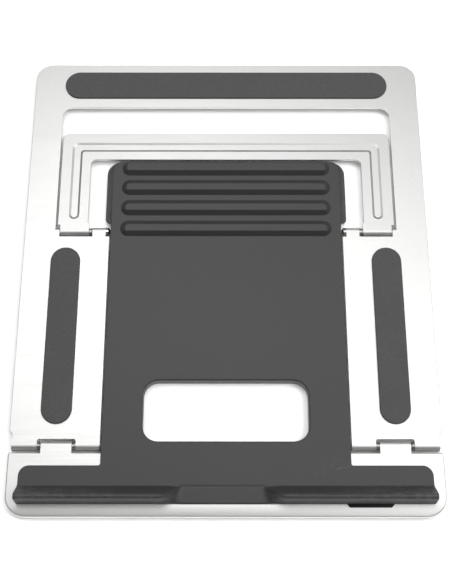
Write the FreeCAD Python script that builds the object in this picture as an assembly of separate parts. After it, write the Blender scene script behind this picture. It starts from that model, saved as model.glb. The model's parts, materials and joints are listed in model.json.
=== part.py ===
import FreeCAD
import Part
import math
import os

from FreeCAD import Vector as V

# Folding laptop stand, stored flat.  Millimetres, +Z up, desk at z = 0.
# Origin: centre of the footprint, on the desk.  -Y is the front (lip) edge,
# +Y the rear edge that lifts.  Lengths below written "from the front edge"
# are turned into row coordinates with fy().

os.makedirs("parts", exist_ok=True)

# ---------------------------------------------------------------- overall
WIDTH = 250.0            # overall width
DEPTH = 294.7            # overall depth
SHEET = 1.5              # sheet thickness of frame, bail and front strip
Z_TOP = 6.6              # top face of frame, bail and strip, folded flat
PIN_R = 1.5              # hinge pin radius
BORE_R = 1.55            # rolled knuckle bore, running fit on the pin
KNUCKLE_R = BORE_R + SHEET   # 3.05, outside of the rolled knuckle
Z_AXIS = Z_TOP - KNUCKLE_R   # both hinge axes
Z_UNDER = Z_TOP - SHEET
SEAM = 0.35              # gap where a roll meets its own sheet

# ---------------------------------------------------------------- hinge lines
Y_FRONT_HINGE = 40.5     # platform to base, from the front edge
Y_BAIL_HINGE = 175.0     # bail to platform

# front hinge, along X, one side (mirrored)
FH_IN = (72.6, 86.4)     # platform knuckle, inner
FH_TAB = (88.6, 106.3)   # base knuckle
FH_OUT = (108.7, 123.3)  # platform knuckle, outer
# bail hinge, along X, one side (mirrored)
BH_IN = (74.8, 82.9)     # platform knuckle, inner
BH_BAIL = (85.3, 103.1)  # bail knuckle
BH_OUT = (103.5, 106.4)  # platform lug, outer

# ---------------------------------------------------------------- front strip
STRIP_BACK = 36.3
STRIP_CORNER = 12.0
STRIP_FLANGE_Z = 1.0     # lower edge of the turned-down front and side edge
STRIP_ROLL = 7.5         # the top starts to roll down this far from the front
STRIP_ROLL_DEG = 12.0    # slope it has reached at the front edge

# ---------------------------------------------------------------- platform
FRAME_X = 125.0
FRAME_CORNER = 10.5
BAR_FRONT = 262.3        # front edge of the rear cross bar
OPEN_X = 106.0           # wide opening half width
OPEN_R = 5.5
RAIL_IN = 72.5           # lower rails, inner edge
BAIL_SEAT = 171.2        # rear edge of the lower rails, under the bail knuckle
KNUCKLE_ZONE = 47.0      # frame is a little narrower in front of this line

# ---------------------------------------------------------------- grip pads
PAD_T = 1.5
TOP_PAD = (105.5, 269.1, 288.5)          # half length, front, back
SIDE_PAD = (98.6, 9.05, 52.8, 163.2)     # centre x, half width, front, back

# ---------------------------------------------------------------- bail
BAIL_X = 105.0
BAIL_IN = 86.0
BAIL_BACK = 243.4
BAIL_BAR = 224.3
BEAD_DEPTH = 0.55        # depth and wall run of the pressed bead
BEAD_RUN = 1.35

# ---------------------------------------------------------------- base plate
PLATE_T = 1.5
Z_PLATE = Z_TOP + PLATE_T
PLATE_X = 71.6
PLATE_BACK = 222.7
PLATE_R = 6.5
FOOT_X = 118.0           # T-shaped front of the plate
FOOT_BACK = 28.7
FOOT_R = 6.0
FLANGE_Z = 1.2           # lower edge of the turned-down sides
BRIM_X = 75.6            # flared rim at the rear, lower edge
BRIM_BACK = 223.8
BRIM_FRONT = 180.6       # free front ends of the rim, rounded
BRIM_END_R = 3.6
BRIM_Z = 3.0
WIN_X = 48.2             # window
WIN_Y = (42.6, 78.4)
WIN_R = 9.0
RIB_FRONT = (170.5, 184.6, 198.6, 212.2)  # foot of each steep front wall
RIB_X = 65.5
RIB_H = 3.0
RIB_STEEP = 2.5          # run of the front wall
RIB_FLAT = 4.5
RIB_BACK = 3.4           # run of the back slope
RIB_LAST = (5.5, 1.9)    # flat and back slope of the rearmost rib
# lip
LIP_CREASE = 16.9
LIP_RIDGE = 9.7
LIP_FRONT = 7.0
LIP_H = 10.0
LIP_GAP_Z = 7.65         # lower edge of the lip's front face
LIP_LOW = (-24.0, 20.5)  # fully lowered middle
LIP_HIGH = (-37.0, 33.5)


def fy(y):
    return y - DEPTH / 2.0


# ---------------------------------------------------------------- helpers
def rounded(pts, z):
    """Closed wire through (x, y, r) corners, each rounded with radius r."""
    n = len(pts)
    segs = []
    for i in range(n):
        x, y, r = pts[i]
        p = V(x, y, z)
        a = V(pts[i - 1][0], pts[i - 1][1], z)
        b = V(pts[(i + 1) % n][0], pts[(i + 1) % n][1], z)
        if r <= 0:
            segs.append((p, None, p))
            continue
        da = (a - p).normalize()
        db = (b - p).normalize()
        half = math.acos(max(-1, min(1, da.dot(db)))) / 2.0
        d = r / math.tan(half)
        s = p + da * d
        e = p + db * d
        bis = (da + db).normalize()
        c = p + bis * (r / math.sin(half))
        m = c - bis * r
        segs.append((s, m, e))
    edges = []
    for i in range(n):
        s, m, e = segs[i]
        if m is not None:
            edges.append(Part.Arc(s, m, e).toShape())
        nxt = segs[(i + 1) % n][0]
        if (nxt - e).Length > 1e-6:
            edges.append(Part.makeLine(e, nxt))
    return Part.Wire(edges)


def slab(pts, z0, z1, holes=()):
    f = Part.Face(rounded(pts, z0))
    body = f.extrude(V(0, 0, z1 - z0))
    for h in holes:
        body = body.cut(Part.Face(rounded(h, z0 - 1)).extrude(V(0, 0, z1 - z0 + 2)))
    return body


def box(x0, x1, y0, y1, z0, z1):
    return Part.makeBox(x1 - x0, y1 - y0, z1 - z0, V(x0, y0, z0))


def cyl_x(x0, x1, r, y, z):
    return Part.makeCylinder(r, x1 - x0, V(x0, y, z), V(1, 0, 0))


def mirror_x(s):
    return s.mirror(V(0, 0, 0), V(1, 0, 0))


def clean(s):
    s = s.removeSplitter()
    if s.ShapeType == "Compound" and len(s.Solids) == 1:
        s = s.Solids[0]
    return s


def knuckle(x0, x1, y, toward):
    """Rolled knuckle with its sheet tangent at the top.  toward is the row
    y of the sheet's far end."""
    k = cyl_x(x0, x1, KNUCKLE_R, y, Z_AXIS)
    lo, hi = min(y, toward), max(y, toward)
    k = k.fuse(box(x0, x1, lo, hi, Z_UNDER, Z_TOP))
    # the roll ends just under its own sheet, which leaves a thin seam
    side = 1.0 if toward > y else -1.0
    ya, yb = sorted((y + side * (BORE_R * 0.75), y + side * (KNUCKLE_R + 0.3)))
    k = k.cut(box(x0 - 1, x1 + 1, ya, yb, Z_UNDER - SEAM, Z_UNDER))
    return k


def soften(s, r, pick):
    """Rounds the edges that pick() accepts; keeps the shape if that fails."""
    edges = [e for e in s.Edges if pick(e)]
    if not edges:
        return s
    try:
        out = s.makeFillet(r, edges)
    except Exception:
        print("  rounding r=%.2f left out" % r)
        return s
    if out.isValid() and 0 < out.Volume < s.Volume * 1.2 and len(out.Solids) == len(s.Solids):
        return out
    print("  rounding r=%.2f left out" % r)
    return s


def export(name, shape):
    shape = shape if shape.ShapeType in ("Solid", "Compound") else clean(shape)
    shape.exportStep("parts/%s.step" % name)
    b = shape.BoundBox
    print("%-24s solids %d valid %s vol %.1f  x %.2f..%.2f y %.2f..%.2f z %.2f..%.2f" % (
        name, len(shape.Solids), shape.isValid(), shape.Volume,
        b.XMin, b.XMax, b.YMin, b.YMax, b.ZMin, b.ZMax))


AX_F = fy(Y_FRONT_HINGE)
AX_B = fy(Y_BAIL_HINGE)


# ================================================================ front strip
def make_strip():
    xo = WIDTH / 2.0
    outline = [(-xo, fy(0), STRIP_CORNER), (xo, fy(0), STRIP_CORNER),
               (xo, fy(STRIP_BACK), 1.0), (-xo, fy(STRIP_BACK), 1.0)]
    s = slab(outline, STRIP_FLANGE_Z, Z_TOP)
    # the top rolls down gently towards the front edge
    big = STRIP_ROLL / math.sin(math.radians(STRIP_ROLL_DEG))

    def on_roll(y):
        a = math.asin((STRIP_ROLL - y) / big)
        return V(-xo - 5, fy(y), Z_TOP - big * (1 - math.cos(a)))

    a, m, b = on_roll(STRIP_ROLL), on_roll(3.2), on_roll(-1.0)
    up = V(0, 0, 2.0)
    over = Part.Wire([arc3(a, m, b), Part.makeLine(b, V(b.x, b.y, Z_TOP + 2.0)),
                      Part.makeLine(V(b.x, b.y, Z_TOP + 2.0), a + up), Part.makeLine(a + up, a)])
    s = s.cut(Part.Face(over).extrude(V(WIDTH + 10, 0, 0)))
    # rounded edge along the front, the corners and the sides
    s = soften(s, 0.9, lambda e: e.BoundBox.ZMin > Z_TOP - 1.0
               and (e.CenterOfMass.y < fy(1.0) or abs(e.CenterOfMass.x) > xo - STRIP_CORNER)
               and e.BoundBox.YMin < fy(STRIP_BACK - 2) and abs(e.CenterOfMass.x) - 0.0 <= xo)
    t = SHEET
    inner = [(-xo + t, fy(t), STRIP_CORNER - t), (xo - t, fy(t), STRIP_CORNER - t),
             (xo - t, fy(STRIP_BACK + 5), 0), (-xo + t, fy(STRIP_BACK + 5), 0)]
    s = s.cut(slab(inner, STRIP_FLANGE_Z - 1, Z_UNDER))
    for sx in (1, -1):
        k = knuckle(FH_TAB[0], FH_TAB[1], AX_F, fy(STRIP_BACK - 1.0))
        if sx < 0:
            k = mirror_x(k)
        s = s.fuse(k)
    for sx in (1, -1):
        b = cyl_x(FH_TAB[0] - 1, FH_TAB[1] + 1, BORE_R, AX_F, Z_AXIS)
        s = s.cut(b if sx > 0 else mirror_x(b))
    for (x, y) in RIVETS:
        s = s.cut(Part.makeCylinder(RIVET_R, 10, V(x, y, 0)))
    return clean(s)


RIVET_R = 1.5
RIVETS = [(-100.0, fy(22.8)), (-40.0, fy(22.8)), (40.0, fy(22.8)), (100.0, fy(22.8))]


# ================================================================ base plate
def arc3(a, m, b):
    return Part.Arc(a, m, b).toShape()


def lip_full(zc, t):
    """Key points of the full-height lip section, (y, z), see lip_section."""
    foot = (LIP_FRONT, LIP_GAP_Z)
    crease = V(0, LIP_CREASE, zc)
    crown = V(0, LIP_RIDGE, zc + LIP_H)
    r, rc = 1.9, 1.6
    # sharp corner above the rounded crown
    p = crown
    for _ in range(6):
        da = (crease - p).normalize()
        db = (V(0, foot[0], foot[1]) - p).normalize()
        half = math.acos(da.dot(db)) / 2
        bis = (da + db).normalize()
        p = crown - bis * (r / math.sin(half) - r)
    c = p + bis * (r / math.sin(half))
    na = da - bis * da.dot(bis)
    # outward normals of ramp and front face
    def outward(d):
        n = V(0, d.z, -d.y)
        return n if n.dot(bis) < 0 else n * -1
    na, nb = outward(da), outward(db)
    d = r / math.tan(half)
    A3, A5 = p + da * d, p + db * d
    A4 = c - bis * r
    # concave bend at the crease
    up = (p - crease).normalize()
    back = V(0, 1, 0)
    halfc = math.acos(up.dot(back)) / 2
    dc = rc / math.tan(halfc)
    bc = (up + back).normalize()
    cc = crease + bc * (rc / math.sin(halfc))
    A0, A2 = crease + back * dc, crease + up * dc
    A1 = cc - bc * rc
    B0 = V(0, A0.y, A0.z - t)
    B1 = cc - bc * (rc + t)
    B2 = A2 - na * t
    B3, B5 = A3 - na * t, A5 - nb * t
    B4 = c - bis * (r - t)
    f = V(0, foot[0], foot[1])
    A6 = f - db * 0.55
    A8 = f - nb * 0.5
    A7 = f - db * 0.15 - nb * 0.13
    B6 = f - nb * t
    return [A0, A1, A2, A3, A4, A5, A6, A7, A8, B6, B5, B4, B3, B2, B1, B0]


def lip_low(zc, t):
    z = Z_TOP
    y_in = lip_full(zc, t)[0].y
    pts = [(y_in, zc), (LIP_CREASE + 0.3, zc - 0.10), (LIP_CREASE - 0.1, zc - 0.22),
           (LIP_CREASE - 0.45, zc - 0.20), (LIP_CREASE - 0.9, zc - 0.10), (LIP_CREASE - 1.4, zc - 0.10),
           (8.0, zc - 0.34), (7.25, zc - 0.62), (LIP_FRONT, z + 0.30),
           (7.5, z + 0.03), (13.9, z + 0.02), (14.4, z + 0.05), (14.9, z + 0.02),
           (16.0, z + 0.02), (16.7, z + 0.05), (y_in, z)]
    return [V(0, a, b) for a, b in pts]


def lip_section(x, s):
    """Closed section of the lip sheet at x.  s = 1 full height, 0 lowered.
    The crown sinks back towards the crease as the lip is lowered."""
    hi, lo = lip_full(Z_PLATE, PLATE_T), lip_low(Z_PLATE, PLATE_T)
    k = [V(x, fy(a.y * s + b.y * (1 - s)), a.z * s + b.z * (1 - s)) for a, b in zip(hi, lo)]
    e = [arc3(k[0], k[1], k[2]), Part.makeLine(k[2], k[3]), arc3(k[3], k[4], k[5]),
         Part.makeLine(k[5], k[6]), arc3(k[6], k[7], k[8]), Part.makeLine(k[8], k[9]),
         Part.makeLine(k[9], k[10]), arc3(k[10], k[11], k[12]), Part.makeLine(k[12], k[13]),
         arc3(k[13], k[14], k[15]), Part.makeLine(k[15], k[0])]
    return Part.Wire(e)


def smooth(t):
    return t * t * (3 - 2 * t)


def make_lip():
    parts = []

    def run(x0, x1, s):
        w = lip_section(x0, s)
        return Part.Face(w).extrude(V(x1 - x0, 0, 0))

    parts.append(run(-FOOT_X, LIP_HIGH[0], 1.0))
    parts.append(run(LIP_HIGH[1], FOOT_X, 1.0))
    parts.append(run(LIP_LOW[0], LIP_LOW[1], 0.0))
    steps = 8
    for x0, x1 in ((LIP_LOW[0], LIP_HIGH[0]), (LIP_LOW[1], LIP_HIGH[1])):
        secs = [lip_section(x0 + (x1 - x0) * i / steps, smooth(i / steps))
                for i in range(steps + 1)]
        parts.append(Part.makeLoft(secs, True, False))
    lip = parts[0]
    for p in parts[1:]:
        lip = lip.fuse(p)
    return lip


def rib(y0, off=0.0, z0=Z_PLATE, h=RIB_H):
    """Embossed rib standing on z0; off shrinks it for the hollow below."""
    flat, back = (RIB_FLAT, RIB_BACK) if y0 < RIB_FRONT[3] else RIB_LAST
    a0, a1 = y0 + off * 0.8, y0 + RIB_STEEP + flat + back - off * 0.8
    b0, b1 = y0 + RIB_STEEP + off * 0.45, y0 + RIB_STEEP + flat - off * 0.45
    xa, xb = RIB_X - off * 0.8, RIB_X - 3.0 - off * 0.5
    # ends nearly half round at the foot, tighter at the crest
    fa, fb = min(5.0, 0.5 * (a1 - a0) - 0.2), 0.9
    ra = min(5.0, (a1 - a0) - fa - 0.4)
    rb = min(2.6, (b1 - b0) - fb - 0.4)
    wa = rounded([(-xa, fy(a0), fa), (xa, fy(a0), fa), (xa, fy(a1), ra), (-xa, fy(a1), ra)], z0)
    wb = rounded([(-xb, fy(b0), fb), (xb, fy(b0), fb), (xb, fy(b1), rb), (-xb, fy(b1), rb)], z0 + h)
    return Part.makeLoft([wa, wb], True, True)


def flat_at(e, z, tol=1e-4):
    b = e.BoundBox
    return abs(b.ZMin - z) < tol and abs(b.ZMax - z) < tol


def make_plate():
    px, fx = PLATE_X, FOOT_X
    t = PLATE_T
    crease = lip_full(Z_PLATE, PLATE_T)[0].y
    mid = 60.0
    # front T, a plain sheet
    tee = [(-fx, fy(crease), 0), (fx, fy(crease), 0), (fx, fy(FOOT_BACK), FOOT_R),
           (px, fy(FOOT_BACK), 1.2), (px, fy(mid), 0), (-px, fy(mid), 0),
           (-px, fy(FOOT_BACK), 1.2), (-fx, fy(FOOT_BACK), FOOT_R)]
    s = slab(tee, Z_TOP, Z_PLATE)
    s = soften(s, 0.6, lambda e: flat_at(e, Z_PLATE) and e.BoundBox.YMin > fy(crease) + 0.01
               and e.BoundBox.YMax < fy(36.0))
    # main tray: outer form minus inner form
    def tray(x, yb, r, z0, z1, soft):
        f = slab([(-x, fy(STRIP_BACK + 1.5), 0), (x, fy(STRIP_BACK + 1.5), 0), (x, fy(yb), r),
                  (-x, fy(yb), r)], z0, z1)
        return soften(f, soft, lambda e: flat_at(e, z1) and e.BoundBox.YMax > fy(60.0))
    outer = tray(px, PLATE_BACK, PLATE_R, FLANGE_Z, Z_PLATE, 0.45)
    inner = tray(px - t, PLATE_BACK - t, PLATE_R - t, FLANGE_Z - 1, Z_TOP, 0.3)
    front_cut = box(-px + t, px - t, fy(STRIP_BACK), fy(STRIP_BACK + 4), FLANGE_Z - 1, Z_TOP)
    body = outer.cut(inner).cut(front_cut)
    # the sides are open round the bail hinge and behind it, where the rim flares
    body = body.cut(box(-90, 90, fy(170.2), fy(PLATE_BACK + 9), -5, Z_TOP))
    body = body.cut(box(-90, -PLATE_X + 0.0, fy(170.2), fy(PLATE_BACK + 9), -5, Z_TOP + 0.01))
    s = s.fuse(body)
    # flared rim round the rear
    def ring(x, yb, r, z):
        return rounded([(-x, fy(150), 0), (x, fy(150), 0), (x, fy(yb), r), (-x, fy(yb), r)], z)
    outer = Part.makeLoft([ring(PLATE_X - 0.2, PLATE_BACK - 0.2, PLATE_R - 0.2, Z_PLATE - 0.12),
                           ring(BRIM_X, BRIM_BACK, PLATE_R + 1.7, BRIM_Z)], True, True)
    inner = Part.makeLoft([ring(PLATE_X - 1.9, PLATE_BACK - 2.0, PLATE_R - 1.9, Z_PLATE - t + 0.01),
                           ring(BRIM_X - 2.0, BRIM_BACK - 1.5, PLATE_R + 0.2, BRIM_Z - 0.01)], True, True)
    brim = outer.cut(inner)
    brim = brim.cut(box(-90, 90, fy(140), fy(BRIM_FRONT), -5, 30))
    r = BRIM_END_R
    corner = box(BRIM_X - r, BRIM_X + 1, fy(BRIM_FRONT) - 1, fy(BRIM_FRONT) + r, -5, 30)
    corner = corner.cut(Part.makeCylinder(r, 40, V(BRIM_X - r, fy(BRIM_FRONT) + r, -6)))
    brim = brim.cut(corner).cut(mirror_x(corner))
    s = s.fuse(brim)
    # window with its rim turned down
    def win(o, z0, z1):
        return slab([(-WIN_X - o, fy(WIN_Y[0] - o), WIN_R + o), (WIN_X + o, fy(WIN_Y[0] - o), WIN_R + o),
                     (WIN_X + o, fy(WIN_Y[1] + o), WIN_R + o), (-WIN_X - o, fy(WIN_Y[1] + o), WIN_R + o)],
                    z0, z1)
    s = s.fuse(win(t, FLANGE_Z, Z_TOP + 0.3))
    s = s.cut(win(0, FLANGE_Z - 1, Z_PLATE + 1))
    s = clean(s)
    s = soften(s, 1.1, lambda e: flat_at(e, Z_PLATE) and abs(e.BoundBox.XMin) < WIN_X + 0.1
               and abs(e.BoundBox.XMax) < WIN_X + 0.1 and e.BoundBox.YMin > fy(WIN_Y[0] - 0.1)
               and e.BoundBox.YMax < fy(WIN_Y[1] + 0.1))
    # embossed ribs, hollow underneath
    for y0 in RIB_FRONT:
        r = rib(y0, z0=Z_PLATE)
        r = soften(r, 0.75, lambda e: flat_at(e, Z_PLATE + RIB_H))
        s = clean(s.fuse(r))
        last = y0 == RIB_FRONT[3]
        s = soften(s, 0.55, lambda e: flat_at(e, Z_PLATE, 1e-3)
                   and e.BoundBox.YMin > fy(y0 - 0.05)
                   and e.BoundBox.YMax < fy(y0 + (9.0 if last else 10.45))
                   and max(abs(e.BoundBox.XMin), abs(e.BoundBox.XMax)) < RIB_X + 0.05)
    for y0 in RIB_FRONT:
        s = s.cut(rib(y0, off=PLATE_T, z0=Z_TOP, h=RIB_H))
    s = s.fuse(make_lip())
    for (x, y) in RIVETS:
        s = s.cut(Part.makeCylinder(RIVET_R, 2.0, V(x, y, Z_TOP - 1.0)))
    return clean(s)


# ================================================================ platform
def make_platform():
    fx = FRAME_X
    kz = fy(KNUCKLE_ZONE)
    nx = FH_OUT[1]
    front = AX_F
    outline = [(-nx, front, 0), (nx, front, 0), (nx, kz, 1.0), (fx, kz + 1.5, 1.0),
               (fx, fy(DEPTH), FRAME_CORNER), (-fx, fy(DEPTH), FRAME_CORNER),
               (-fx, kz + 1.5, 1.0), (-nx, kz, 1.0)]
    s = slab(outline, Z_UNDER, Z_TOP)
    # wide opening and the narrower one round the plate
    wide = [(-OPEN_X, fy(BAIL_SEAT), 1.0), (OPEN_X, fy(BAIL_SEAT), 1.0),
            (OPEN_X, fy(BAR_FRONT), OPEN_R), (-OPEN_X, fy(BAR_FRONT), OPEN_R)]
    s = s.cut(slab(wide, Z_UNDER - 1, Z_TOP + 1))
    s = s.cut(box(-RAIL_IN, RAIL_IN, front - 1, fy(BAIL_SEAT + 1), Z_UNDER - 1, Z_TOP + 1))
    # notches for the base knuckles
    for sx in (1, -1):
        n = slab([(FH_IN[1], front - 2, 0), (FH_OUT[0], front - 2, 0),
                  (FH_OUT[0], fy(44.1), 1.4), (FH_IN[1], fy(44.1), 1.4)], Z_UNDER - 1, Z_TOP + 1)
        s = s.cut(n if sx > 0 else mirror_x(n))
    s = clean(s)
    s = soften(s, 0.4, lambda e: (flat_at(e, Z_TOP) or flat_at(e, Z_UNDER))
               and e.BoundBox.YMin > fy(KNUCKLE_ZONE) - 0.01
               and not (abs(e.BoundBox.YMax - fy(BAIL_SEAT)) < 0.01 and abs(e.BoundBox.YMin - fy(BAIL_SEAT)) < 0.01))
    ks = []
    for a, b in (FH_IN, FH_OUT):
        ks.append(knuckle(a, b, AX_F, AX_F + 4))
    # bail hinge knuckles, rolled at the rear edge of the lower rails
    ks.append(knuckle(BH_IN[0], BH_IN[1], AX_B, fy(BAIL_SEAT - 1.0)))
    lug = cyl_x(BH_OUT[0], BH_OUT[1], KNUCKLE_R, AX_B, Z_AXIS)
    lug = lug.fuse(box(BH_OUT[0], OPEN_X + 1, fy(BAIL_SEAT - 1.0), AX_B, Z_UNDER, Z_TOP))
    ks.append(lug)
    for k in ks:
        s = s.fuse(k).fuse(mirror_x(k))
    for a, b, y in ((FH_IN[0] - 2, FH_OUT[1] + 2, AX_F), (BH_IN[0] - 2, BH_OUT[1] + 0.0, AX_B)):
        c = cyl_x(a, b, BORE_R, y, Z_AXIS)
        s = s.cut(c).cut(mirror_x(c))
    return clean(s)


# ================================================================ bail
def u_wire(xo, xi, y0, yo, yi, ro, ri, z, end_r):
    """U-shaped outline, open to the front: legs from y0, bar between yi, yo."""
    return rounded([(-xo, fy(y0), end_r), (-xi, fy(y0), end_r), (-xi, fy(yi), ri),
                    (xi, fy(yi), ri), (xi, fy(y0), end_r), (xo, fy(y0), end_r),
                    (xo, fy(yo), ro), (-xo, fy(yo), ro)], z)


def u_solid(wa, wb):
    return Part.makeLoft([wa, wb], True, True)


def make_bail():
    y0 = 178.6
    f = Part.Face(u_wire(BAIL_X, BAIL_IN, y0, BAIL_BACK, BAIL_BAR, 5.0, 3.3, Z_UNDER, 0.5))
    s = f.extrude(V(0, 0, SHEET))
    # rounded free edges
    s = soften(s, 0.4, lambda e: abs(e.BoundBox.ZMax - e.BoundBox.ZMin) < 1e-6
               and e.BoundBox.YMin > fy(y0 + 0.05))
    # bead pressed down into the sheet
    d = BEAD_RUN
    top = u_wire(98.4, 91.8, 182.8, 236.5, 230.1, 3.8, 1.2, Z_TOP + 0.01, 3.25)
    bot = u_wire(98.4 - d, 91.8 + d, 182.8 + d, 236.5 - d, 230.1 + d, 3.0, 1.9,
                 Z_TOP - BEAD_DEPTH, 1.9)
    top_b = u_wire(98.4, 91.8, 182.8, 236.5, 230.1, 3.8, 1.2, Z_UNDER, 3.25)
    bot_b = u_wire(98.4 - d, 91.8 + d, 182.8 + d, 236.5 - d, 230.1 + d, 3.0, 1.9,
                   Z_UNDER - BEAD_DEPTH, 1.9)
    s = s.fuse(u_solid(top_b, bot_b))
    s = s.cut(u_solid(top, bot))
    for sx in (1, -1):
        k = knuckle(BH_BAIL[0], BH_BAIL[1], AX_B, fy(y0 + 1.5))
        s = s.fuse(k if sx > 0 else mirror_x(k))
    c = cyl_x(BH_BAIL[0] - 1, BH_BAIL[1] + 1, BORE_R, AX_B, Z_AXIS)
    s = s.cut(c).cut(mirror_x(c))
    return clean(s)


# ================================================================ small parts
def pad(x0, x1, y0, y1, r, z0, t, soft=0.5):
    p = slab([(x0, fy(y0), r), (x1, fy(y0), r), (x1, fy(y1), r), (x0, fy(y1), r)], z0, z0 + t)
    return soften(p, soft, lambda e: abs(e.BoundBox.ZMin - (z0 + t)) < 1e-6)


def foot_bar(x0, x1, y0, y1, z1, r):
    p = slab([(x0, fy(y0), r), (x1, fy(y0), r), (x1, fy(y1), r), (x0, fy(y1), r)], 0, z1)
    return soften(p, 0.5, lambda e: abs(e.BoundBox.ZMax) < 1e-6)


def washer(x0, x1, ro, y):
    return cyl_x(x0, x1, ro, y, Z_AXIS).cut(cyl_x(x0 - 1, x1 + 1, PIN_R + 0.03, y, Z_AXIS))


def both(name_l, name_r, shape):
    export(name_r, shape)
    export(name_l, mirror_x(shape))


export("base_plate", make_plate())
export("front_strip", make_strip())
export("platform_frame", make_platform())
export("support_bail", make_bail())

# grip pads, bonded on the frame
export("top_grip_pad", pad(-TOP_PAD[0], TOP_PAD[0], TOP_PAD[1], TOP_PAD[2], 9.2, Z_TOP, PAD_T))
cx, hw, y0, y1 = SIDE_PAD
both("left_grip_pad", "right_grip_pad", pad(cx - hw, cx + hw, y0, y1, hw - 0.05, Z_TOP, PAD_T))

# front hinge pin, held in the two platform knuckles
both("left_front_hinge_pin", "right_front_hinge_pin",
     cyl_x(FH_IN[0] + 0.2, FH_OUT[1] - 0.2, PIN_R, AX_F, Z_AXIS))
w = washer(FH_IN[1] + 0.1, FH_IN[1] + 1.5, 2.5, AX_F)
w2 = washer(FH_OUT[0] - 1.3, FH_OUT[0] - 0.1, 2.5, AX_F)
both("left_front_hinge_washers", "right_front_hinge_washers", Part.makeCompound([w, w2]))

# bail pin with a domed head on its inner end
HEAD_R = 3.0
head = Part.makeSphere(4.05, V(BH_IN[0] + 1.15, AX_B, Z_AXIS))
head = head.common(cyl_x(BH_IN[0] - 4.5, BH_IN[0] - 0.05, HEAD_R, AX_B, Z_AXIS))
bail_pin = cyl_x(BH_IN[0] - 0.5, BH_OUT[1] - 0.2, PIN_R, AX_B, Z_AXIS).fuse(head)
both("left_bail_pin", "right_bail_pin", clean(bail_pin))
both("left_bail_washer", "right_bail_washer", washer(BH_IN[1] + 0.1, BH_BAIL[0] - 0.4, 2.6, AX_B))

# rivets that hold the plate on the strip, blind under the plate's coating
rivs = []
for (x, y) in RIVETS:
    sh = Part.makeCylinder(RIVET_R, 7.5 - Z_UNDER, V(x, y, Z_UNDER))
    hd = Part.makeCone(2.2, 3.1, 1.1, V(x, y, Z_UNDER - 1.1))
    rivs.append(clean(sh.fuse(hd)))
export("base_rivets", Part.makeCompound(rivs))

# rubber feet
both("front_left_foot", "front_right_foot", foot_bar(50.0, 112.0, 5.2, 17.2, Z_UNDER, 5.9))
rib4 = RIB_FRONT[3]
ymid = rib4 + RIB_STEEP + RIB_FLAT / 2.0
both("rear_left_foot", "rear_right_foot",
     foot_bar(14.0, 58.0, ymid - 1.45, ymid + 1.45, Z_TOP + RIB_H, 1.4))
both("left_rear_bumper", "right_rear_bumper",
     Part.makeCylinder(6.0, Z_UNDER, V(103.0, fy(278.8), 0)))

# small black tab under the lip
tab = Part.Face(rounded([(70.2, fy(5.2), 0.6), (93.6, fy(5.2), 0.6), (95.0, fy(7.2), 0.3),
                         (95.0, fy(13.0), 1), (68.4, fy(13.0), 1), (68.4, fy(7.2), 0.3)],
                        Z_TOP)).extrude(V(0, 0, 0.6))
export("lip_tab", tab)
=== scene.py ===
import json
import math

import bmesh
import bpy
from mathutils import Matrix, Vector


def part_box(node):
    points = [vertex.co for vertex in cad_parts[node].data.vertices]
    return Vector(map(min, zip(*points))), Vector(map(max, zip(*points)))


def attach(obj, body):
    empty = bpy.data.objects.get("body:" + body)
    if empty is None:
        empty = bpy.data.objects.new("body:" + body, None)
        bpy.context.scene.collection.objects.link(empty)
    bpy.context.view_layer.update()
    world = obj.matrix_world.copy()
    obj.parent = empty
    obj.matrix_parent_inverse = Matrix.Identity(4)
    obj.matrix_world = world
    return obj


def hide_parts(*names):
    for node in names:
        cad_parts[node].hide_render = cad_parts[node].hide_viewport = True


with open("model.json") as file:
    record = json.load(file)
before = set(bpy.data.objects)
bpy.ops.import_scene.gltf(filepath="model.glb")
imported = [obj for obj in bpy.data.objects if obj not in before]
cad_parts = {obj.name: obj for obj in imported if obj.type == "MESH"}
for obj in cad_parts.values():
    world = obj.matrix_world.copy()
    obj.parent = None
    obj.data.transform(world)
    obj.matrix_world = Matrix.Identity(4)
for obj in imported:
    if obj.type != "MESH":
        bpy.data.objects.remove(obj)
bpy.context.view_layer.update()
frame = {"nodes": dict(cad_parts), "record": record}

scene = bpy.context.scene
nodes = frame["nodes"]


def mm(v):
    return v / 1000.0


# ------------------------------------------------------------ material kit
def new_mat(name):
    m = bpy.data.materials.new(name)
    m.use_nodes = True
    nt = m.node_tree
    nt.nodes.clear()
    out = nt.nodes.new("ShaderNodeOutputMaterial")
    bs = nt.nodes.new("ShaderNodeBsdfPrincipled")
    nt.links.new(bs.outputs["BSDF"], out.inputs["Surface"])
    return m, nt, bs


def coords(nt):
    return nt.nodes.new("ShaderNodeTexCoord").outputs["Object"]


def noise(nt, vec, scale, detail=4.0, rough=0.55, distortion=0.0):
    n = nt.nodes.new("ShaderNodeTexNoise")
    n.inputs["Scale"].default_value = scale
    n.inputs["Detail"].default_value = detail
    n.inputs["Roughness"].default_value = rough
    n.inputs["Distortion"].default_value = distortion
    nt.links.new(vec, n.inputs["Vector"])
    return n.outputs["Fac"]


def remap(nt, val, a, b, c, d):
    n = nt.nodes.new("ShaderNodeMapRange")
    n.inputs["From Min"].default_value = a
    n.inputs["From Max"].default_value = b
    n.inputs["To Min"].default_value = c
    n.inputs["To Max"].default_value = d
    nt.links.new(val, n.inputs["Value"])
    return n.outputs["Result"]


def math_node(nt, op, a, b):
    n = nt.nodes.new("ShaderNodeMath")
    n.operation = op
    for i, v in enumerate((a, b)):
        if isinstance(v, (int, float)):
            n.inputs[i].default_value = v
        else:
            nt.links.new(v, n.inputs[i])
    return n.outputs[0]


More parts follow.
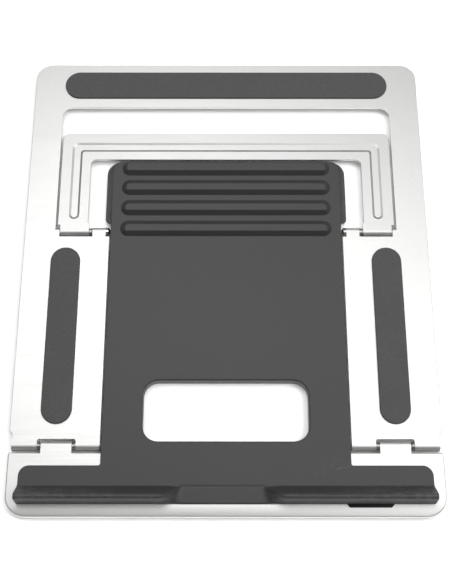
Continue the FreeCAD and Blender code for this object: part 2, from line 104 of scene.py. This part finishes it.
def mix_col(nt, fac, a, b):
    n = nt.nodes.new("ShaderNodeMix")
    n.data_type = "RGBA"
    if isinstance(fac, (int, float)):
        n.inputs[0].default_value = fac
    else:
        nt.links.new(fac, n.inputs[0])
    for idx, v in ((6, a), (7, b)):
        if isinstance(v, tuple):
            n.inputs[idx].default_value = (v[0], v[1], v[2], 1)
        else:
            nt.links.new(v, n.inputs[idx])
    return n.outputs[2]


def bump(nt, height, strength, distance, normal=None):
    n = nt.nodes.new("ShaderNodeBump")
    n.inputs["Strength"].default_value = strength
    n.inputs["Distance"].default_value = distance
    nt.links.new(height, n.inputs["Height"])
    if normal is not None:
        nt.links.new(normal, n.inputs["Normal"])
    return n.outputs["Normal"]


def edge_mask(nt, lo=0.52, hi=0.60):
    g = nt.nodes.new("ShaderNodeNewGeometry")
    return remap(nt, g.outputs["Pointiness"], lo, hi, 0.0, 1.0)


def stretched(nt, vec, sx, sy, sz):
    n = nt.nodes.new("ShaderNodeMapping")
    n.inputs["Scale"].default_value = (sx, sy, sz)
    nt.links.new(vec, n.inputs["Vector"])
    return n.outputs["Vector"]


def powder_coat():
    m, nt, bs = new_mat("powder_coat_grey")
    co = coords(nt)
    fine = noise(nt, co, 1500.0, 3.0, 0.6)
    peel = noise(nt, co, 420.0, 2.0, 0.5)
    cloud = noise(nt, co, 14.0, 3.0, 0.5)
    col = mix_col(nt, remap(nt, fine, 0.35, 0.65, 0.0, 1.0), (0.055, 0.055, 0.0563), (0.074, 0.074, 0.0753))
    col = mix_col(nt, remap(nt, cloud, 0.35, 0.65, 0.0, 0.35), col, (0.072, 0.072, 0.073))
    wear = math_node(nt, "MULTIPLY", edge_mask(nt, 0.53, 0.62),
                     remap(nt, noise(nt, co, 260.0, 3.0, 0.6), 0.45, 0.65, 0.0, 0.55))
    col = mix_col(nt, wear, col, (0.16, 0.16, 0.165))
    nt.links.new(col, bs.inputs["Base Color"])
    nt.links.new(remap(nt, fine, 0.3, 0.7, 0.44, 0.60), bs.inputs["Roughness"])
    bs.inputs["Metallic"].default_value = 0.0
    bs.inputs["IOR"].default_value = 1.5
    bs.inputs["Specular IOR Level"].default_value = 0.54
    n1 = bump(nt, peel, 0.25, 0.00006)
    n2 = bump(nt, fine, 0.45, 0.00004, n1)
    nt.links.new(n2, bs.inputs["Normal"])
    return m


def blasted_aluminium(name, lo, hi, rough_lo, rough_hi, warm=0.0):
    m, nt, bs = new_mat(name)
    co = coords(nt)
    fine = noise(nt, co, 1900.0, 3.0, 0.6)
    mid = noise(nt, co, 60.0, 3.0, 0.5)
    streak = noise(nt, stretched(nt, co, 30.0, 900.0, 900.0), 1.0, 3.0, 0.6)
    c0 = (lo, lo, lo * (1 - warm))
    c1 = (hi, hi, hi * (1 - warm * 0.6))
    col = mix_col(nt, remap(nt, fine, 0.35, 0.65, 0.0, 1.0), c0, c1)
    col = mix_col(nt, remap(nt, mid, 0.3, 0.7, 0.0, 0.25), col, (hi * 0.96, hi * 0.96, hi * 0.955))
    nt.links.new(col, bs.inputs["Base Color"])
    bs.inputs["Metallic"].default_value = 1.0
    r = remap(nt, fine, 0.3, 0.7, rough_lo, rough_hi)
    r = math_node(nt, "ADD", r, remap(nt, streak, 0.35, 0.65, -0.02, 0.02))
    nt.links.new(r, bs.inputs["Roughness"])
    n1 = bump(nt, fine, 0.35, 0.00003)
    n2 = bump(nt, mid, 0.10, 0.00012, n1)
    nt.links.new(n2, bs.inputs["Normal"])
    return m


def rubber(name, dark, light, rough_lo, rough_hi, dust=0.0):
    m, nt, bs = new_mat(name)
    co = coords(nt)
    fine = noise(nt, co, 1300.0, 3.0, 0.65)
    cloud = noise(nt, co, 45.0, 3.0, 0.5)
    col = mix_col(nt, remap(nt, fine, 0.3, 0.7, 0.0, 1.0),
                  (dark, dark, dark * 1.02), (light, light, light * 1.02))
    if dust:
        col = mix_col(nt, remap(nt, cloud, 0.45, 0.75, 0.0, dust), col, (0.22, 0.22, 0.215))
    nt.links.new(col, bs.inputs["Base Color"])
    nt.links.new(remap(nt, cloud, 0.3, 0.7, rough_lo, rough_hi), bs.inputs["Roughness"])
    bs.inputs["Specular IOR Level"].default_value = 0.35
    n1 = bump(nt, fine, 0.5, 0.00005)
    nt.links.new(n1, bs.inputs["Normal"])
    return m


def turned_metal(name, c0, c1, rough_lo, rough_hi, tarnish=None):
    m, nt, bs = new_mat(name)
    co = coords(nt)
    rings = noise(nt, stretched(nt, co, 4000.0, 60.0, 60.0), 1.0, 2.0, 0.6)
    blot = noise(nt, co, 700.0, 3.0, 0.6)
    col = mix_col(nt, remap(nt, rings, 0.3, 0.7, 0.0, 1.0), c0, c1)
    if tarnish:
        col = mix_col(nt, remap(nt, blot, 0.45, 0.65, 0.0, 0.6), col, tarnish)
    nt.links.new(col, bs.inputs["Base Color"])
    bs.inputs["Metallic"].default_value = 1.0
    nt.links.new(remap(nt, blot, 0.3, 0.7, rough_lo, rough_hi), bs.inputs["Roughness"])
    nt.links.new(bump(nt, rings, 0.3, 0.00002), bs.inputs["Normal"])
    return m


MAT = {
    "plate_paint": powder_coat(),
    "silver_frame": blasted_aluminium("blasted_silver", 0.82, 0.90, 0.46, 0.56, 0.02),
    "silver_bail": blasted_aluminium("blasted_silver_bail", 0.74, 0.81, 0.45, 0.55, 0.015),
    "grip_rubber": rubber("grip_rubber", 0.103, 0.141, 0.62, 0.78, 0.05),
    "foot_rubber": rubber("foot_rubber", 0.026, 0.040, 0.70, 0.85, 0.08),
    # tab_rubber's near-black colour is painted shadow of the lip, laid on the thin tab under the lip's front
    # edge
    "tab_rubber": rubber("tab_rubber", 0.014, 0.020, 0.60, 0.75),
    "steel_pin": turned_metal("turned_steel", (0.62, 0.62, 0.61), (0.74, 0.74, 0.73), 0.22, 0.36),
    "zinc_washer": turned_metal("dull_zinc", (0.46, 0.46, 0.45), (0.60, 0.60, 0.58), 0.38, 0.52,
                                (0.30, 0.29, 0.27)),
}

for sp in frame["record"]["subparts"]:
    ob = nodes[sp["node"]]
    mat = MAT[sp["material_slot"]]
    if not ob.material_slots:
        ob.data.materials.append(mat)
    for s in ob.material_slots:
        s.material = mat

# ------------------------------------------------------------ mesh kit
def finish_mesh(name, bm, slot, body, replaced, smooth=True, sharp_deg=38.0):
    bmesh.ops.recalc_face_normals(bm, faces=bm.faces)
    me = bpy.data.meshes.new(name)
    bm.to_mesh(me)
    bm.free()
    for poly in me.polygons:
        poly.use_smooth = smooth
    me.set_sharp_from_angle(angle=math.radians(sharp_deg))
    me.materials.append(MAT[slot])
    ob = bpy.data.objects.new(name, me)
    scene.collection.objects.link(ob)
    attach(ob, body)
    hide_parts(*replaced)
    return ob


def outline(x0, x1, y0, y1, r, inset, seg=12, step=None):
    """Rounded rectangle, counter-clockwise, shrunk by inset.  The number of
    points doesn't depend on inset."""
    xa, xb, ya, yb = x0 + inset, x1 - inset, y0 + inset, y1 - inset
    rr = max(r - inset, 0.00012)
    pts = []
    for cx, cy, a0 in ((xb - rr, ya + rr, -90), (xb - rr, yb - rr, 0),
                       (xa + rr, yb - rr, 90), (xa + rr, ya + rr, 180)):
        for i in range(seg + 1):
            a = math.radians(a0 + 90.0 * i / seg)
            pts.append((cx + rr * math.cos(a), cy + rr * math.sin(a)))
    return pts


def ring_skin(bm, rings, close_first=True, close_last=True):
    """Skins rings of equal length and caps the two ends."""
    made = [[bm.verts.new(p) for p in ring] for ring in rings]
    n = len(made[0])
    for a, b in zip(made, made[1:]):
        for i in range(n):
            j = (i + 1) % n
            bm.faces.new((a[i], a[j], b[j], b[i]))
    if close_first:
        bm.faces.new(list(reversed(made[0])))
    if close_last:
        bm.faces.new(made[-1])
    return made


def moulded_bar(name, node, body, slot, r, profile, seg=12):
    """Moulded rubber strip inside the node's box.  profile holds
    (inset, z) pairs in mm, z measured up from the node's lower face."""
    lo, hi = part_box(node)
    bm = bmesh.new()
    rings = [[(x, y, lo[2] + mm(z)) for x, y in
              outline(lo[0], hi[0], lo[1], hi[1], mm(r), mm(d), seg)] for d, z in profile]
    ring_skin(bm, rings)
    return finish_mesh(name, bm, slot, body, (node,), sharp_deg=50.0)


def lathe(name, node, body, slot, axis, centre, profile, seg=48, closed=False):
    """Turned part: profile holds (along, radius) pairs in metres, along
    axis "x" or "z".  A closed profile makes a ring."""
    bm = bmesh.new()

    def at(along, rad, a):
        c, s_ = rad * math.cos(a), rad * math.sin(a)
        if axis == "x":
            return (along, centre[1] + c, centre[2] + s_)
        return (centre[0] + c, centre[1] + s_, along)

    angles = [2 * math.pi * i / seg for i in range(seg)]
    rings = [[at(al, rad, a) for a in angles] for al, rad in profile]
    if closed:
        made = [[bm.verts.new(p) for p in ring] for ring in rings]
        m = len(made)
        for k in range(m):
            a, b = made[k], made[(k + 1) % m]
            for i in range(seg):
                j = (i + 1) % seg
                bm.faces.new((a[i], a[j], b[j], b[i]))
    else:
        ring_skin(bm, rings)
    return finish_mesh(name, bm, slot, body, (node,), sharp_deg=35.0)


# ------------------------------------------------------------ grip pads
# flush-moulded rubber, side wall drawn in a little, soft shoulder, low crown
PAD = [(0.35, 0.0), (0.12, 0.06), (0.02, 0.20), (0.0, 0.45), (0.02, 0.78), (0.08, 1.00),
       (0.20, 1.17), (0.40, 1.28), (0.70, 1.345), (1.20, 1.385), (2.2, 1.42),
       (3.8, 1.455), (5.6, 1.48), (7.4, 1.495), (8.6, 1.50)]
moulded_bar("top_pad_rubber", "top_grip_pad", "platform", "grip_rubber", 9.65, PAD, 16)
moulded_bar("left_pad_rubber", "left_grip_pad", "platform", "grip_rubber", 9.0, PAD, 16)
moulded_bar("right_pad_rubber", "right_grip_pad", "platform", "grip_rubber", 9.0, PAD, 16)

# ------------------------------------------------------------ feet
# contact rim round a shallow dished sole
SOLE = [(3.4, 0.34), (3.0, 0.32), (2.7, 0.24), (2.5, 0.12), (2.25, 0.03), (1.9, 0.0),
        (1.35, 0.0), (0.95, 0.04), (0.62, 0.16), (0.38, 0.36), (0.22, 0.65), (0.12, 1.1),
        (0.04, 2.4), (0.0, 4.2), (0.0, 4.85), (0.10, 5.02), (0.30, 5.10)]
for side in ("left", "right"):
    moulded_bar("front_%s_foot_rubber" % side, "front_%s_foot" % side, "base", "foot_rubber", 5.4, SOLE, 14)
REAR = [(0.75, 0.0), (0.50, 0.03), (0.30, 0.12), (0.14, 0.30), (0.05, 0.60), (0.0, 1.1),
        (0.0, 8.9), (0.05, 9.3), (0.20, 9.52), (0.42, 9.60)]
for side in ("left", "right"):
    moulded_bar("rear_%s_foot_rubber" % side, "rear_%s_foot" % side, "base", "foot_rubber", 1.4, REAR, 8)
for side in ("left", "right"):
    node = "%s_rear_bumper" % side
    lo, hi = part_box(node)
    mid = ((lo[0] + hi[0]) / 2, (lo[1] + hi[1]) / 2, 0.0)
    rad = (hi[0] - lo[0]) / 2
    prof = [(0.22, 1.2), (0.20, 1.9), (0.10, 2.4), (0.0, 2.9), (0.03, 3.4), (0.22, 4.0), (0.60, 4.55),
            (1.20, 5.0), (2.00, 5.30), (3.00, 5.48), (3.85, 5.55), (4.05, 5.62), (4.15, 5.80),
            (4.28, 5.93), (4.48, 5.985), (4.80, 5.985), (4.98, 5.92), (5.08, 5.78)]
    lathe("%s_bumper_rubber" % side, node, "platform", "foot_rubber", "z", mid,
          [(lo[2] + mm(z), mm(r) * rad / 0.006) for z, r in prof], 56)

# ------------------------------------------------------------ lip tab: its near-black colour is painted shadow of the lip
lo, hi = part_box("lip_tab")
w, d = hi[0] - lo[0], hi[1] - lo[1]


def shadow_tab_ring(inset, z):
    k = mm(inset)
    pts = [(lo[0] + k, hi[1] - k), (lo[0] + k, lo[1] + mm(2.1)), (lo[0] + mm(0.25) + k * 0.8, lo[1] + mm(1.45)),
           (lo[0] + mm(1.25), lo[1] + mm(0.28) + k * 0.8), (lo[0] + mm(1.9), lo[1] + k),
           (hi[0] - mm(1.9), lo[1] + k), (hi[0] - mm(1.25), lo[1] + mm(0.28) + k * 0.8),
           (hi[0] - mm(0.25) - k * 0.8, lo[1] + mm(1.45)), (hi[0] - k, lo[1] + mm(2.1)), (hi[0] - k, hi[1] - k)]
    return [(x, y, lo[2] + mm(z)) for x, y in pts]


bm = bmesh.new()
ring_skin(bm, [shadow_tab_ring(i, z) for i, z in ((0.10, 0.0), (0.0, 0.08), (0.0, 0.36), (0.06, 0.48), (0.18, 0.565),
                                           (0.36, 0.60))])
finish_mesh("lip_tab_painted_shadow", bm, "tab_rubber", "base", ("lip_tab",), sharp_deg=50.0)

# ------------------------------------------------------------ pins, washers
for side in ("left", "right"):
    node = "%s_front_hinge_pin" % side
    lo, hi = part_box(node)
    c = ((lo[0] + hi[0]) / 2, (lo[1] + hi[1]) / 2, (lo[2] + hi[2]) / 2)
    a, b = lo[0], hi[0]
    r = (hi[2] - lo[2]) / 2
    end = [(0.22, 0.30), (0.10, 0.52), (0.0, 0.85), (0.05, 1.12), (0.22, 1.38), (0.42, 1.5)]
    lathe("%s_front_pin_turned" % side, node, "platform", "steel_pin", "x", c,
          [(a + mm(z), mm(q) * r / 0.0015) for z, q in end]
          + [(b - mm(z), mm(q) * r / 0.0015) for z, q in reversed(end)], 40)

# ------------------------------------------------------------ stage
floor_me = bpy.data.meshes.new("floor")
bm = bmesh.new()
vs = [bm.verts.new((x, y, -0.00005)) for x, y in ((-3, -3), (3, -3), (3, 3), (-3, 3))]
bm.faces.new(vs)
bm.to_mesh(floor_me)
bm.free()
floor = bpy.data.objects.new("floor", floor_me)
scene.collection.objects.link(floor)
fm, fnt, fbs = new_mat("floor_white")
fbs.inputs["Base Color"].default_value = (0.86, 0.86, 0.86, 1)
fbs.inputs["Roughness"].default_value = 0.9
fbs.inputs["Specular IOR Level"].default_value = 0.0
fco = coords(fnt)
fnt.links.new(mix_col(fnt, noise(fnt, fco, 900.0, 2.0, 0.5), (0.85, 0.85, 0.85), (0.89, 0.89, 0.89)),
              fbs.inputs["Base Color"])
floor_me.materials.append(fm)

world = bpy.data.worlds.new("studio")
scene.world = world
world.use_nodes = True
bg = world.node_tree.nodes["Background"]
bg.inputs["Color"].default_value = (1.0, 1.0, 1.0, 1)
bg.inputs["Strength"].default_value = 0.07


def softbox(name, loc, sx, sy, radiance, turn=0.0, target=None, shape="ELLIPSE"):
    li = bpy.data.lights.new(name, "AREA")
    li.shape = shape
    li.size = sx
    li.size_y = sy
    area = sx * sy * (math.pi / 4 if shape == "ELLIPSE" else 1.0)
    li.energy = radiance * math.pi * area
    ob = bpy.data.objects.new(name, li)
    ob.location = loc
    if target is not None:
        ob.rotation_euler = (Vector(target) - Vector(loc)).to_track_quat("-Z", "Y").to_euler()
    else:
        ob.rotation_euler = (0.0, 0.0, math.radians(turn))
    scene.collection.objects.link(ob)
    return ob


softbox("overhead_softbox", (-0.19, 0.42, 1.25), 0.64, 0.52, 4.3, turn=-12.0)
softbox("overhead_panel", (0.04, 0.29, 1.30), 1.95, 0.93, 1.12, turn=-6.0)
softbox("right_patch", (0.30, 0.55, 1.26), 0.28, 0.22, 1.9)
softbox("key_right", (0.80, -0.12, 1.15), 0.62, 0.85, 3.9, target=(0.05, -0.02, 0))

# a broad lamp that lights the floor only, so the ground is white round the
# part and still dark where the part covers it
ground = softbox("ground_wash", (0.0, 0.0, 1.9), 3.4, 3.4, 1.6, shape="SQUARE")
only_floor = bpy.data.collections.new("ground_receivers")
only_floor.objects.link(floor)
ground.light_linking.receiver_collection = only_floor

# ------------------------------------------------------------ camera
cam_data = bpy.data.cameras.new("camera")
cam_data.sensor_fit = "AUTO"
cam_data.sensor_width = 36.0
cam_data.lens = 36.0 * 977.0 / 584.0
cam_data.clip_start = 0.01
cam_data.clip_end = 20.0
cam = bpy.data.objects.new("camera", cam_data)
cam.location = (0.0002, -0.21805, 0.0066 + 0.557)
cam.rotation_euler = (math.radians(20.2), 0.0, math.radians(0.04))
scene.collection.objects.link(cam)
scene.camera = cam

scene.view_settings.view_transform = "Standard"
scene.view_settings.look = "None"
